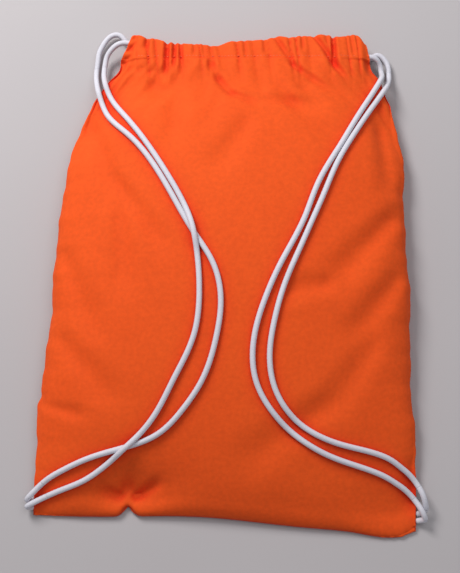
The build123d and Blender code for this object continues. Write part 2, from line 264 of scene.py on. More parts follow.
def panel_points(share, angle, top):
    """Points of a panel at shares of its length and angles across it."""
    share = share[:, None] + 0 * angle[None, :]
    angle = angle[None, :] + 0 * share
    nick = 2 * MM * hill(share, 0.24, 0.012)
    left = side_x("left", share) + side_pucker(share, 3) + nick
    right = side_x("right", share) + side_pucker(share, 5)
    narrowing = ease((share - (1 - HEM_NARROWING)) / HEM_NARROWING)
    left = left + (casing_low.x - HEM_FLARE - left) * narrowing
    right = right + (casing_high.x + RIGHT_FLARE - right) * narrowing
    across = -np.cos(angle)
    x = (left + right) / 2 + (right - left) / 2 * across
    y = bottom_y + panel_length * share + x * bottom_slope * (1 - share)
    y = y + bottom_edge_offset(x) * hill(share, 0, 0.07)
    parting = SLIT_PARTING * ease((share - slit_share) / (1 - slit_share))
    seam = seam_z(share) + (parting if top else -parting)
    if top:
        flatness = 2 + 6 * ease((share - 0.82) / 0.18)
        profile = np.sqrt(np.clip(1 - np.abs(across) ** flatness, 0, 1))
        z = seam + (crown_z(share) - seam) * profile
        z -= BOTTOM_ROLL * hill(share, 0, 0.012)
        y -= BOTTOM_LAP * hill(share, 0, 0.02)
    else:
        base = BACK_LIFT + BACK_FOOT_LIFT * (1 - share) ** 16
        corner = np.clip((1 - np.abs(across)) * (right - left) / 2 / BACK_CORNER, 0, 1)
        z = seam - (seam - base) * np.sqrt(np.clip(1 - (1 - corner) ** 2, 0, 1))
    return np.stack([x, y, z], axis=-1)


def hem_points(top):
    """Rows of cloth from the foot of the hem round its folded edge and back down inside."""
    low, high = (casing_low, casing_high) if top else (back_casing_low, back_casing_high)
    middle_z = (low.z + high.z) / 2
    half_z = (high.z - low.z) / 2
    fold_y = high.y - half_z
    outer = np.linspace(0, 1, HEM_ROWS + 1)[1:]
    turn = np.linspace(0, np.pi, FOLD_ROWS + 2)[1:-1]
    inner = np.linspace(0, 1, INNER_ROWS)
    y = np.concatenate([
        low.y + (fold_y - low.y) * outer,
        fold_y + half_z * np.sin(turn),
        fold_y + (low.y + INNER_GAP - fold_y) * inner,
    ])
    lean = np.concatenate([np.ones(HEM_ROWS), np.cos(turn), -np.ones(INNER_ROWS)])
    across = -np.cos(sheet_columns(COLUMNS))
    pinch = 1 - HEM_END_PINCH + HEM_END_PINCH * np.sqrt(np.clip(1 - np.abs(across) ** 12, 0, 1))
    to_foot = np.clip((high.y - y) / (high.y - low.y), 0, 1)[:, None]
    left = low.x - HEM_FLARE * to_foot
    right = high.x + RIGHT_FLARE * to_foot
    grid = np.zeros((len(y), COLUMNS, 3))
    grid[:, :, 0] = (left + right) / 2 + (right - left) / 2 * across[None, :]
    grid[:, :, 1] = y[:, None]
    outward = 1 if top else -1
    grid[:, :, 2] = middle_z + outward * half_z * lean[:, None] * pinch[None, :]
    return grid


# ---- Gathering the mouth ----
GATHER_REACH = 34 * MM  # how far below the hem the gathers run out
GATHER_LEAN = 0.1  # sideways lean of the gathers
FRONT_PUFF = 2.6 * MM  # height of the gathers, and how far their valleys sink
FRONT_SINK = 0.5 * MM
BACK_PUFF = 1.4 * MM
CORD_COVER = cord_radius + CLOTH_THICKNESS + 0.4 * MM  # least distance of the hem from a cord's centre


def clear_of_cords(y, z):
    """Heights of the front hem, raised where a cord inside it would come through."""
    for side in SIDES:
        centre = box_centre(f"{side}_cord_front_run")
        beside = np.abs(y - centre.y) / CORD_COVER
        over_cord = centre.z + CORD_COVER * np.sqrt(np.clip(1 - beside**2, 0, 1))
        z = np.where(beside < 1, np.maximum(z, over_cord), z)
    return z


def gather_cloth(grid, top):
    """Ruffles the mouth and, on the front, lays the creases and folds into the sheet."""
    x, y = grid[..., 0].copy(), grid[..., 1].copy()
    grid[..., 1] = with_hem_edge(x, y)
    near_mouth = ease((y - (mouth_y - GATHER_REACH)) / GATHER_REACH)
    ends = ease((x - casing_low.x + 2 * MM) / (8 * MM)) * ease((casing_high.x + 2 * MM - x) / (8 * MM))
    waves = ruffle(x + GATHER_LEAN * (y - mouth_y), 11 if top else 29)
    if not top:
        grid[..., 2] += near_mouth * (1 - waves) * BACK_PUFF * ends
        return grid
    outer = np.arange(grid.shape[0])[:, None] < PANEL_ROWS + HEM_ROWS + FOLD_ROWS
    puff = near_mouth * (waves * FRONT_PUFF - FRONT_SINK) * ends
    groove = 0.1 * MM * hill(y, stitching.y, 1.8 * MM)
    tilt = HEM_TILT * near_mouth * np.clip((casing_high.y - y) / casing_depth, 0, 1)
    grid[..., 2] += (puff - groove + tilt * ends) * outer
    heights = crease_height(x, y, MOUTH_CREASES) * outer
    heights += crease_height(x, y, BODY_FOLDS) * (1 - near_mouth)
    grid[..., 2] += heights * edge_weight(grid.shape[0], grid.shape[1])
    grid[..., 2] = np.where(outer, clear_of_cords(y, grid[..., 2]), grid[..., 2])
    return grid


def edge_weight(rows, columns):
    """1 over a sheet and 0 at its sides and its bottom edge, so that seams stay closed."""
    across = 1 - np.abs(np.linspace(-1, 1, columns))
    along = np.linspace(0, 1, rows)
    return ease(along / 0.03)[:, None] * ease(across / 0.11)[None, :]


def new_piece(name, points, faces):
    """New object in the scene from points and faces."""
    mesh = bpy.data.meshes.new(name)
    mesh.from_pydata(points, [], faces)
    piece = bpy.data.objects.new(name, mesh)
    bpy.context.scene.collection.objects.link(piece)
    return piece


def mesh_from_grid(name, grid, flip=False):
    """Quad mesh over a grid of points."""
    rows, columns = grid.shape[:2]
    index = np.arange(rows * columns).reshape(rows, columns)
    corners = [index[:-1, :-1], index[:-1, 1:], index[1:, 1:], index[1:, :-1]]
    if flip:
        corners.reverse()
    faces = np.stack(corners, axis=-1).reshape(-1, 4)
    piece = new_piece(name, grid.reshape(-1, 3).tolist(), faces.tolist())
    piece.data.polygons.foreach_set("use_smooth", [True] * len(faces))
    piece.data.update()
    return piece


# ---- Cloth simulation of the front panel ----
SIM_GRID = (121, 101)  # rows and columns
SIM_FRAMES = 36
SIM_CAP = 8 * MM  # furthest that a point may move
SPARE_WIDTH = 1.008  # width of the cut sheet against the filled panel
MOUTH_SPARE = 0.2  # and what the gathered mouth adds
SPARE_LENGTH = 1.006
INNER_HOLD = 0.25  # how firmly the inside of the sheet follows the filled shape; its edges are at 1
CLOTH_SETTINGS = {
    "quality": 5, "mass": 0.003, "tension_stiffness": 20, "compression_stiffness": 20, "shear_stiffness": 8,
    "bending_stiffness": 0.5, "air_damping": 3, "vertex_group_mass": "hold",
    "use_pressure": True, "uniform_pressure_force": 0.2,
}
BROAD_ROUNDS = 16  # rounds of smoothing for broad folds and for fine wrinkles
FINE_ROUNDS = 2
BROAD_GAIN = 2.2
FINE_GAIN = 0.8


def make_cloth(piece):
    """Turns a sheet into cloth with no gravity, held by its vertex group hold."""
    modifier = piece.modifiers.new("cloth", "CLOTH")
    for name, value in CLOTH_SETTINGS.items():
        setattr(modifier.settings, name, value)
    modifier.settings.effector_weights.gravity = 0
    modifier.collision_settings.use_collision = False
    modifier.point_cache.frame_start = 1
    modifier.point_cache.frame_end = SIM_FRAMES


def run_cloth(cut, filled, hold):
    """Draws a sheet in from its cut to its filled shape, which each point follows as firmly as hold says."""
    piece = mesh_from_grid("settling_sheet", cut)
    piece.shape_key_add(name="cut")
    filled_key = piece.shape_key_add(name="filled")
    filled_key.data.foreach_set("co", filled.reshape(-1))
    for frame_number, value in ((1, 0), (SIM_FRAMES // 3, 1)):
        filled_key.value = value
        filled_key.keyframe_insert("value", frame=frame_number)
    group = piece.vertex_groups.new(name="hold")
    for index, weight in enumerate(hold.reshape(-1)):
        group.add([index], float(weight), "REPLACE")
    make_cloth(piece)
    for step in range(1, SIM_FRAMES + 1):
        bpy.context.scene.frame_set(step)
    settled = piece.evaluated_get(bpy.context.evaluated_depsgraph_get()).to_mesh()
    points = np.zeros(len(settled.vertices) * 3)
    settled.vertices.foreach_get("co", points)
    mesh = piece.data
    bpy.data.objects.remove(piece)
    bpy.data.meshes.remove(mesh)
    bpy.context.scene.frame_set(1)
    return points.reshape(filled.shape)


def blur(values, rounds):
    """Smooths a grid of values."""
    for _ in range(rounds):
        padded = np.pad(values, ((1, 1), (0, 0), (0, 0)), mode="edge")
        values = (padded[:-2] + 2 * padded[1:-1] + padded[2:]) / 4
        padded = np.pad(values, ((0, 0), (1, 1), (0, 0)), mode="edge")
        values = (padded[:, :-2] + 2 * padded[:, 1:-1] + padded[:, 2:]) / 4
    return values


def cut_sheet(filled, share):
    """The flat sheet that a filled panel is made from, with some spare cloth and a little unevenness."""
    steps = np.linalg.norm(np.diff(filled, axis=1), axis=2)
    widths = np.pad(np.cumsum(steps, axis=1), ((0, 0), (1, 0)))
    widths -= widths[:, -1:] / 2
    steps = np.linalg.norm(np.diff(filled[:, SIM_GRID[1] // 2], axis=0), axis=1)
    lengths = np.pad(np.cumsum(steps), (1, 0))[:, None] * SPARE_LENGTH
    spare = SPARE_WIDTH + MOUTH_SPARE * ease((share - 0.8) / 0.2)
    rng = np.random.default_rng(7)
    unevenness = blur(rng.normal(0, 1, (*SIM_GRID, 1)), 4)[..., 0]
    cut = np.zeros_like(filled)
    cut[..., 0] = widths * spare[:, None] + (filled[:, :1, 0] + filled[:, -1:, 0]) / 2
    cut[..., 1] = lengths + bottom_y + filled[..., 0] * bottom_slope * (1 - share)[:, None]
    cut[..., 2] = unevenness * MM * edge_weight(*SIM_GRID)
    return cut


def settle_front():
    """Wrinkles of the front panel as offsets on the simulation grid, finer at the mouth."""
    share = np.linspace(0, 1, SIM_GRID[0])
    filled = panel_points(share, sheet_columns(SIM_GRID[1]), True)
    hold = np.ones(SIM_GRID)
    hold[1:-1, 1:-1] = INNER_HOLD
    offset = run_cloth(cut_sheet(filled, share), filled, hold) - filled
    size = np.linalg.norm(offset, axis=-1, keepdims=True)
    offset *= np.minimum(1, SIM_CAP / np.maximum(size, 1e-9))
    broad = blur(offset, BROAD_ROUNDS)
    fine = blur(offset, FINE_ROUNDS)
    mouth = ease((share - 0.74) / 0.2)[:, None, None]
    wrinkles = broad * BROAD_GAIN + (fine - broad) * mouth * FINE_GAIN
    return wrinkles * edge_weight(*SIM_GRID)[..., None]


def resample_rows(values, count):
    """Smooth resampling of an array to another number of rows."""
    last = values.shape[0] - 1
    places = np.linspace(0, last, count)
    base = np.clip(places.astype(int), 0, last - 1)
    t = (places - base).reshape(-1, *[1] * (values.ndim - 1))
    before = values[np.clip(base - 1, 0, last)]
    here = values[base]
    after = values[base + 1]
    beyond = values[np.clip(base + 2, 0, last)]
    square = 2 * before - 5 * here + 4 * after - beyond
    cube = 3 * (here - after) + beyond - before
    return here + 0.5 * t * (after - before + t * (square + t * cube))


def resample(values, rows, columns):
    """Smooth resampling of a grid of values to another size."""
    return resample_rows(resample_rows(values, rows).swapaxes(0, 1), columns).swapaxes(0, 1)


# ---- The two cloth sheets ----
SIDE_BLEND = 60 * MM  # width beside a closed seam over which the front's weight rises from 0 to 1
SLIT_BLEND = 40 * MM  # length over which that ends at the slits, and where it starts below them
SLIT_BLEND_START = 8 * MM


def cloth_grid(top, wrinkles=None):
    """All points of a sheet, from the bottom edge to the raw edge inside the hem."""
    panel = panel_points(np.linspace(0, 1, PANEL_ROWS), sheet_columns(COLUMNS), top)
    if wrinkles is not None:
        panel += resample(wrinkles, PANEL_ROWS, COLUMNS)
    return gather_cloth(np.concatenate([panel, hem_points(top)]), top)


def thicken(piece):
    """Gives a sheet its cloth thickness, on the side away from its visible face."""
    solid = piece.modifiers.new("thickness", "SOLIDIFY")
    solid.thickness = CLOTH_THICKNESS
    solid.offset = -1
    mesh = bpy.data.meshes.new_from_object(piece.evaluated_get(bpy.context.evaluated_depsgraph_get()))
    thin = piece.data
    piece.modifiers.clear()
    piece.data = mesh
    bpy.data.meshes.remove(thin)
    mesh.polygons.foreach_set("use_smooth", [True] * len(mesh.polygons))


def points_of(piece):
    """Points of a mesh object as rows of x, y, z."""
    points = np.zeros(len(piece.data.vertices) * 3)
    piece.data.vertices.foreach_get("co", points)
    return points.reshape(-1, 3)


def blend_by(piece, weights):
    """Writes the weights in as heights of the points, applies and clears the piece's transform, and puts the
    points back as they were; the weights are not kept.
    """
    places = points_of(piece)
    helper = np.zeros_like(places)
    helper[:, 2] = weights
    piece.data.vertices.foreach_set("co", helper.reshape(-1))
    piece.data.update()
    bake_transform(piece)
    piece.data.vertices.foreach_set("co", places.reshape(-1))
    piece.data.update()


def front_weight(points):
    """Weight of each point of the front sheet: 0 at the closed seams, 1 inside."""
    x, y = points[:, 0], points[:, 1]
    share = np.clip((y - bottom_y - x * bottom_slope) / (panel_length - x * bottom_slope), 0, 1)
    inside = np.minimum(x - side_x("left", share), side_x("right", share) - x) / SIDE_BLEND
    free = (y - (slit_y - SLIT_BLEND_START)) / SLIT_BLEND
    return 1 - (1 - np.clip(inside, 0, 1)) * (1 - np.clip(free, 0, 1))


wrinkles = settle_front()
front_cloth = mesh_from_grid("front_cloth", cloth_grid(True, wrinkles))
back_cloth = mesh_from_grid("back_cloth", cloth_grid(False), flip=True)
cloth_tree = BVHTree.FromObject(front_cloth, bpy.context.evaluated_depsgraph_get())


def cloth_height(x, y):
    """Height of the front sheet at a point in plan, or None beyond it."""
    place = cloth_tree.ray_cast(Vector((x, y, 0.2)), Vector((0, 0, -1)))[0]
    return None if place is None else place.z


# ---- Round and flat lengths of material ----
RIBBON_SIDES = 16
RIBBON_SQUARENESS = 0.7  # below 1 a ribbon is squarer than an ellipse
THREAD_SIDES = 7
STITCH_RINGS = 7
STITCH_ARCH = 0.2 * MM


def ring_mesh(name, lengths):
    """One mesh of closed tubes, each given as an array of rings, points round the ring and x, y, z."""
    points = []
    faces = []
    for rings in lengths:
        first = len(points)
        count, sides = rings.shape[:2]
        points.extend(rings.reshape(-1, 3).tolist())
        for ring in range(count - 1):
            here = first + ring * sides
            for turn in range(sides):
                following = (turn + 1) % sides
                beyond = here + sides
                faces.append((here + turn, here + following, beyond + following, beyond + turn))
        faces.append(tuple(reversed(range(first, first + sides))))
        faces.append(tuple(range(first + (count - 1) * sides, first + count * sides)))
    piece = new_piece(name, points, faces)
    piece.data.polygons.foreach_set("use_smooth", [len(face) == 4 for face in faces])
    piece.data.update()
    return piece


def ribbon(name, line, half_width, half_height, ripple):
    """Flat length of folded cloth along a line, rippling up and down a little."""
    heading = np.gradient(line, axis=0)
    side = np.cross(heading, [0, 0, 1])
    side /= np.linalg.norm(side, axis=1, keepdims=True)
    angle = np.linspace(0, 2 * np.pi, RIBBON_SIDES, endpoint=False)
    across = np.sign(np.cos(angle)) * np.abs(np.cos(angle)) ** RIBBON_SQUARENESS
    up = np.sign(np.sin(angle)) * np.abs(np.sin(angle)) ** RIBBON_SQUARENESS
    step = np.arange(len(line))
    fullness = 1 + 0.10 * np.sin(step * 0.9) + 0.06 * np.sin(step * 0.37 + 1)
    rings = line[:, None, :] + (half_width * fullness[:, None] * across)[..., None] * side[:, None, :]
    rings[..., 2] += half_height * fullness[:, None] * up + ripple * np.sin(step * 0.7)[:, None]
    return ring_mesh(name, [rings])


def stitches(name, centres, headings, length, radius):
    """Row of single thread stitches, each a short arched length of thread."""
    lengths = []
    angle = np.linspace(0, 2 * np.pi, THREAD_SIDES, endpoint=False)
    along = np.linspace(-1, 1, STITCH_RINGS)
    thickness = radius * np.sqrt(np.clip(1.05 - along**4, 0.05, 1))
    for centre, heading in zip(centres, headings):
        heading = heading / np.linalg.norm(heading)
        side = np.cross(heading, [0, 0, 1])
        side /= np.linalg.norm(side)
        line = centre + heading * along[:, None] * length / 2
        line[:, 2] += STITCH_ARCH * (1 - along**2) - STITCH_ARCH / 2
        rings = line[:, None, :] + (thickness[:, None] * np.cos(angle))[..., None] * side
        rings[..., 2] += thickness[:, None] * np.sin(angle)
        lengths.append(rings)
    return ring_mesh(name, lengths)


def stitches_along(name, line, length, radius):
    """Row of stitches in the gaps between the points of a line."""
    return stitches(name, (line[1:] + line[:-1]) / 2, np.diff(line, axis=0), length, radius)


# ---- Pieces on their bodies ----
pieces = [front_cloth, back_cloth]


def add_piece(piece, *nodes):
    """Lists a finished piece, which stands for the CAD nodes named, if any."""
    if nodes:
        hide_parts(*nodes)
    pieces.append(piece)


def add_fixed(piece, body, *nodes):
    """Lists a piece that rides on one body."""
    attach(piece, body)
    add_piece(piece, *nodes)


def add_bent(piece, body, other, start, end, *nodes):
    """Lists a piece, with its transform applied to its mesh."""
    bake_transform(piece)
    add_piece(piece, *nodes)


# ---- Centre lines of the cords ----
RING_STEP = 0.9 * MM
RING_SIDES = 20
BRAID_LAY = 7.5 * MM
BRAID_STRANDS = 8
BRAID_VALLEY = 0.93  # share of the cord's radius between its braided strands
BRAID_SWELL = 0.10
TRACE_STEP = 1.5 * MM
TRACE_LIMIT = 1000
TRACE_WAYS = 8  # pairs of opposite directions to look for the cord's wall in
STRAND_PARTING = 1.7 * MM  # how far each right strand moves aside at their narrowest place
EXIT_LIFTS = {"left_back_exit": 9 * MM, "left_front_exit": 3 * MM, "right_back_exit": 2 * MM}
EXIT_LEAN = 0.7  # below 1 the arch of a loop peaks nearer the hem
EXIT_RISE = 0.3  # share of its lift by which an arch also rises off the floor
STRAND_SINK = 0.25 * MM  # how far a cord presses into the cloth
CORD_CONTACTS = (-0.75, -0.4, 0, 0.4, 0.75)  # places across a cord where it can touch the cloth
CROSSING_END_Y = 190 * MM  # the strands of a loop don't cross beyond this
HOOK_REACH = {"left": 0.5 * MM, "right": 5.5 * MM}  # how far a strand end bows out past its corner
HOOK_LENGTH = 42 * MM
INNER_HOOK = 0.8  # share of that reach for the inner strand
TAIL_DROP = 0.8  # share of a strand's reach by which its tail is sewn in lower
END_LENGTH = 24 * MM  # last length of a strand, which bends to its sewn-in tail
LOOP_BEND = 28 * MM  # first length of a strand, which bends from its loop
RUN_TRIM = 8 * MM  # a casing's cord ends this far inside its CAD solid


def trace_cord(node, start, heading):
    """Centre line of a CAD cord, followed from one end by looking out at its wall on opposite sides."""
    tree = BVHTree.FromObject(frame["nodes"][node], bpy.context.evaluated_depsgraph_get())
    heading = Vector(heading).normalized()
    centre = Vector(start)
    line = [centre.copy()]
    while len(line) < TRACE_LIMIT:
        guess = centre + heading * TRACE_STEP
        side = heading.orthogonal().normalized()
        other = heading.cross(side)
        shifts = []
        for turn in range(TRACE_WAYS):
            angle = math.pi * turn / TRACE_WAYS
            way = side * math.cos(angle) + other * math.sin(angle)
            ahead = tree.ray_cast(guess, way, 3 * cord_radius)[3]
            behind = tree.ray_cast(guess, -way, 3 * cord_radius)[3]
            if ahead is not None and behind is not None:
                shifts.append(way * (ahead - behind))
        if len(shifts) <= TRACE_WAYS / 2:
            break
        found = guess + sum(shifts, Vector()) / len(shifts)
        heading = (heading + (found - centre).normalized()).normalized()
        centre = found
        line.append(centre.copy())
    return np.array(line)


def even_line(line, step):
    """The same line with points an even distance apart."""
    lengths = np.concatenate([[0], np.cumsum(np.linalg.norm(np.diff(line, axis=0), axis=1))])
    count = max(int(lengths[-1] / step), 4)
    places = np.linspace(0, lengths[-1], count)
    return np.stack([np.interp(places, lengths, line[:, axis]) for axis in range(3)], axis=1)


def line_of(x, y, z):
    """Line of points from their coordinates, of which y and z may be single numbers."""
    return np.stack(np.broadcast_arrays(x, y, z), axis=1)


def smooth_line(line, rounds):
    """Smooths a line in place; its two ends stay."""
    for _ in range(rounds):
        line[1:-1] = (line[:-2] + 2 * line[1:-1] + line[2:]) / 4
    return line


def end_centre(node, axis, sign):
    """Centre of the end face of a CAD cord that lies furthest along an axis."""
    points = points_of(frame["nodes"][node])
    far = (points[:, axis] * sign).max()
    rim = points[points[:, axis] * sign > far - 1.0 * MM]
    return (rim.min(0) + rim.max(0)) / 2


def follow_cords():
    """Centre lines of the exits and strands of both cords, as the CAD has them."""
    lines = {}
    for side, way in SIDES.items():
        for level in ("front", "back"):
            node = f"{side}_{level}_exit"
            lines[node] = trace_cord(node, end_centre(node, 0, -way), (way, 0, 0))
        for level in ("outer", "inner"):
            node = f"{side}_{level}_strand"
            lines[node] = trace_cord(node, end_centre(node, 1, 1), (0, -1, 0))
    return lines


def part_right_strands(lines):
    """Moves the right strands apart where the photo shows cloth between them."""
    for node, push in (("right_outer_strand", -STRAND_PARTING), ("right_inner_strand", STRAND_PARTING)):
        lines[node][:, 0] += push * hill(lines[node][:, 1], 46 * MM, 30 * MM)


def shape_exits(lines):
    """Arches the loops at the mouth and starts each one at the wandering edge of the hem."""
    for node, lift in EXIT_LIFTS.items():
        line = lines[node]
        arch = np.sin(np.pi * np.linspace(0, 1, len(line)) ** EXIT_LEAN) ** 1.5
        line[:, 1] += lift * arch
        line[:, 2] += lift * arch * EXIT_RISE
    for side in SIDES:
        for level in ("front", "back"):
            line = lines[f"{side}_{level}_exit"]
            moved = with_hem_edge(line[0, 0], line[0, 1]) - line[0, 1]
            line[:, 1] += moved * (1 - ease(np.linspace(0, 3, len(line))))


def resting_height(point, aside):
    """Height of a cord's centre where it rests on the cloth, or None where it hangs over the edge."""
    heights = []
    for share in CORD_CONTACTS:
        x, y = point[:2] + aside * share * cord_radius
        found = cloth_height(x, y)
        if found is not None:
            heights.append(found + cord_radius * math.sqrt(1 - share * share))
    return max(heights) - STRAND_SINK if len(heights) == len(CORD_CONTACTS) else None


def lay_on_cloth(line, under=None):
    """Lowers a strand until it rests on the cloth, and lifts it over another strand that it crosses."""
    line = even_line(line, 2 * MM)
    heading = np.gradient(line[:, :2], axis=0)
    heading /= np.linalg.norm(heading, axis=1, keepdims=True)
    aside = np.stack([-heading[:, 1], heading[:, 0]], axis=1)
    target = line[:, 2].copy()
    for i, point in enumerate(line):
        height = resting_height(point, aside[i])
        if height is not None:
            target[i] = height
        if under is not None and abs(point[1]) < CROSSING_END_Y:
            gap = np.linalg.norm(under[:, :2] - point[:2], axis=1)
            near = gap < 2 * cord_radius
            if near.any():
                needed = under[near, 2] + np.sqrt((2 * cord_radius) ** 2 - gap[near] ** 2)
                target[i] = max(target[i], needed.max())
    raised = target.copy()
    for _ in range(6):
        raised[1:-1] = np.maximum(target[1:-1], (raised[:-2] + raised[2:]) / 2 - 0.02 * MM)
    to_end = np.minimum(np.arange(len(line)), np.arange(len(line))[::-1])
    line[:, 2] = line[:, 2] + (raised - line[:, 2]) * ease(to_end / 8)
    return smooth_line(line, 4)


def rounded_end(line, way, reach, end):
    """A strand carried a little further out and turned round into its tail, and that tail."""
    steps = np.linalg.norm(np.diff(line[::-1], axis=0, prepend=line[-1:]), axis=1)
    share = 1 - np.clip(np.cumsum(steps)[::-1] / HOOK_LENGTH, 0, 1)
    line = line.copy()
    line[:, 0] += way * reach * (0.3 * ease(share) + 0.9 * np.sin(np.pi * share))
    line[:, 1] -= reach * ease(share)
    below = np.array([line[-1, 0], (line[-1, 1] + end[1]) / 2, (line[-1, 2] + end[2]) / 2])
    whole = smooth_line(even_line(np.concatenate([line, [below, end]]), 1 * MM), 12)
    turn = int(np.argmax(way * whole[:, 0]))
    return whole[: turn + 1], whole[turn:]


def shape_strands(lines, side):
    """Lays the strands of a side on the cloth and adds their tails and the ends of the exits."""
    outer = lay_on_cloth(lines[f"{side}_outer_strand"])
    inner = lay_on_cloth(lines[f"{side}_inner_strand"], under=outer)
    low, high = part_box(f"{side}_cord_tails")
    inner_x = high.x if side == "left" else low.x
    outer_reach = HOOK_REACH[side]
    inner_reach = outer_reach * INNER_HOOK
    for level, line, y, reach in (
        ("outer", outer, high.y - cord_radius, outer_reach),
        ("inner", inner, low.y + cord_radius, inner_reach),
    ):
        end = [inner_x, y - TAIL_DROP * reach, (low.z + high.z) / 2]
        strand, tail = rounded_end(line, SIDES[side], reach, end)
        lines[f"{side}_{level}_strand"] = strand
        lines[f"{side}_{level}_tail"] = tail
    for level, exit_level in (("outer", "back"), ("inner", "front")):
        node = f"{side}_{exit_level}_exit"
        lines[node] = np.concatenate([lines[node], lines[f"{side}_{level}_strand"][:1]])


lines = follow_cords()
part_right_strands(lines)
shape_exits(lines)
for side in SIDES:
    shape_strands(lines, side)


# ---- Cord pieces ----
def cord_rings(line):
    """Rings of points round a braided cord that follows a line of points."""
    line = even_line(smooth_line(even_line(line, RING_STEP * 2), 3), RING_STEP)
    heading = np.gradient(line, axis=0)
    heading /= np.linalg.norm(heading, axis=1, keepdims=True)
    side = np.zeros_like(line)
    first = np.cross(heading[0], [0, 0, 1])
    side[0] = first / np.linalg.norm(first)
    for i in range(1, len(line)):
        carried = side[i - 1] - heading[i] * np.dot(side[i - 1], heading[i])
        side[i] = carried / np.linalg.norm(carried)
    other = np.cross(heading, side)
    angle = np.linspace(0, 2 * np.pi, RING_SIDES, endpoint=False)
    run = np.arange(len(line))[:, None] * RING_STEP * 2 * np.pi / BRAID_LAY
    turns = BRAID_STRANDS / 2 * angle[None, :]
    braid = np.maximum(np.cos(turns + run) ** 2, np.cos(turns - run) ** 2)
    radius = cord_radius * (BRAID_VALLEY + BRAID_SWELL * braid)
    return (
        line[:, None, :]
        + (radius * np.cos(angle))[..., None] * side[:, None, :]
        + (radius * np.sin(angle))[..., None] * other[:, None, :]
    )


def cord_mesh(name, line):
    """Round braided cord along a line of points."""
    return ring_mesh(name, [cord_rings(line)])


def hidden_start(line, way):
    """The length of cord inside the hem that an exit grows out of."""
    x = line[0, 0] - way * np.linspace(12, 1.5, 8) * MM
    plain_y = casing_low.y + (line[0, 1] - casing_low.y) / hem_stretch(line[0, 0])
    return line_of(x, with_hem_edge(x, plain_y), line[0, 2])


def add_strands(side):
    """The strands, each as its main length and its last length before the sewn-in end."""
    strap = f"{side}_strap"
    loop_end = lines[f"{side}_outer_strand"][0]
    for level in ("outer", "inner"):
        node = f"{side}_{level}_strand"
        rings = cord_rings(lines[node])
        last = len(rings) - int(END_LENGTH / RING_STEP)
        strand = ring_mesh(f"{node}_cord", [rings[: last + 1]])
        add_bent(strand, "front", strap, loop_end, loop_end - np.array([0, LOOP_BEND, 0]), node)
        strand_end = ring_mesh(f"{node}_end_cord", [rings[last:]])
        add_bent(strand_end, "front", strap, rings[-1].mean(0), rings[last].mean(0))


def add_exits(side):
    """The loops between the casings and the strands."""
    for level in ("back", "front"):
        node = f"{side}_{level}_exit"
        line = lines[node]
        piece = cord_mesh(f"{node}_cord", np.concatenate([hidden_start(line, SIDES[side]), line]))
        if level == "back":
            add_bent(piece, "back", "front", line[0], line[len(line) * 2 // 3], node)
        else:
            add_fixed(piece, "front", node)


def add_runs(side):
    """The cord inside each casing, which follows the wandering hem."""
    for level in ("front", "back"):
        node = f"{side}_cord_{level}_run"
        low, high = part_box(node)
        centre = box_centre(node)
        x = np.linspace(low.x + RUN_TRIM, high.x - RUN_TRIM, 80)
        line = line_of(x, with_hem_edge(x, centre.y), centre.z)
        add_fixed(cord_mesh(f"{node}_cord", line), level, node)


def add_bight(side):
    """The half turn of a cord at the far end of the casings."""
    node = f"{side}_cord_bight"
    low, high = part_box(node)
    centre = box_centre(node)
    radius = (high.z - low.z) / 2 - cord_radius
    start_x = low.x if side == "left" else high.x
    arc = np.linspace(-np.pi / 2, np.pi / 2, 24)
    x = start_x - SIDES[side] * (radius * 0.55 * np.cos(arc) - 4 * MM)
    line = line_of(x, centre.y, centre.z + radius * np.sin(arc))
    add_bent(cord_mesh(f"{node}_cord", line), "back", "front", line[0], line[-1], node)


def add_tails(side):
    """The sewn-in ends of the strands."""
    for level in ("outer", "inner"):
        line = lines[f"{side}_{level}_tail"]
        nodes = [f"{side}_cord_tails"] if level == "outer" else []
        add_bent(cord_mesh(f"{side}_{level}_tail_cord", line), "back", "front", line[-1], line[0], *nodes)


for side in SIDES:
    add_strands(side)
    add_exits(side)
    add_runs(side)
    add_bight(side)
    add_tails(side)


# ---- Seams and stitching ----
ALLOWANCE_HALF = (3.6 * MM, 0.7 * MM)  # half width and half thickness of the turned cloth in a side seam
BOTTOM_SEAM_HALF = (2.4 * MM, 1.0 * MM)
HEM_STITCH_COUNT = 70
BARTACK_COUNT = 16


def side_seam_line(side, inset, drop, count):
    """Points along the inside of a side seam, between its foot and its slit."""
    share = np.linspace((allowance_low.y - bottom_y) / panel_length, slit_share, count)
    x = side_x(side, share) - SIDES[side] * inset
    y = bottom_y + panel_length * share + x * bottom_slope * (1 - share)
    return line_of(x, y, seam_z(share) - drop)


def bottom_line(count, margin, y_offset, z):
    """Points along the bottom edge of the bag."""
    x = np.linspace(-half_left + margin, half_right - margin, count)
    y = bottom_y + x * bottom_slope + bottom_edge_offset(x) + y_offset
    return line_of(x, y, z)


def add_side_seam(side):
    """Turned cloth, row of stitches and bartack of a side seam."""
    line = side_seam_line(side, 6.5 * MM, 1.1 * MM, 160)
    strip = ribbon(f"{side}_seam_cloth", line, *ALLOWANCE_HALF, 0.25 * MM)
    add_fixed(strip, "back", f"{side}_seam_allowance")
    line = side_seam_line(side, 5.5 * MM, 2.2 * MM, 130)
    row = stitches_along(f"{side}_seam_stitches", line, 2.5 * MM, 0.35 * MM)
    add_fixed(row, "back", f"{side}_seam_stitching")
    low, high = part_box(f"{side}_slit_bartack")
    centres = np.tile(box_centre(f"{side}_slit_bartack"), (BARTACK_COUNT, 1))
    centres[:, 0] = np.linspace(low.x + 0.4 * MM, high.x - 0.4 * MM, BARTACK_COUNT)
    headings = np.tile([0.12, 1.0, 0.0], (BARTACK_COUNT, 1))
    bartack = stitches(f"{side}_bartack_stitches", centres, headings, 2.5 * MM, 0.4 * MM)
    add_fixed(bartack, "back", f"{side}_slit_bartack")


